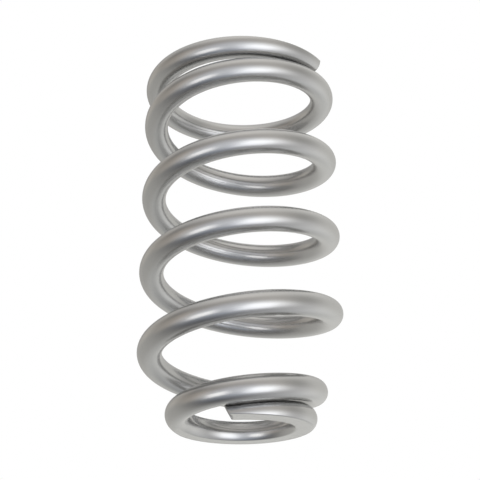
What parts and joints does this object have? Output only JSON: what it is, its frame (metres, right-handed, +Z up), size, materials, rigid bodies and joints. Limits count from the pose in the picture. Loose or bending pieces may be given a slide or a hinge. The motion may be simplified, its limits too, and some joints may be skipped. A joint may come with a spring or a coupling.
{
  "type": "conical spring",
  "caption": "Steel compression spring wound from round wire, with a narrow closed coil at the foot flaring into wide body coils and flat ground ends.",
  "frame": {"origin": "on the coil axis at the lower ground face, the face that the spring stands on", "axes": "+Z up along the coil axis from the narrow end to the wide end, -Y towards the side where the lower tip of the wire ends"},
  "size_m": [0.1374, 0.1373, 0.254],
  "materials": {
    "coat": "satin silver metallic coat"
  },
  "bodies": {
    "root": {"conical_spring": "coat"}
  },
  "joints": []
}
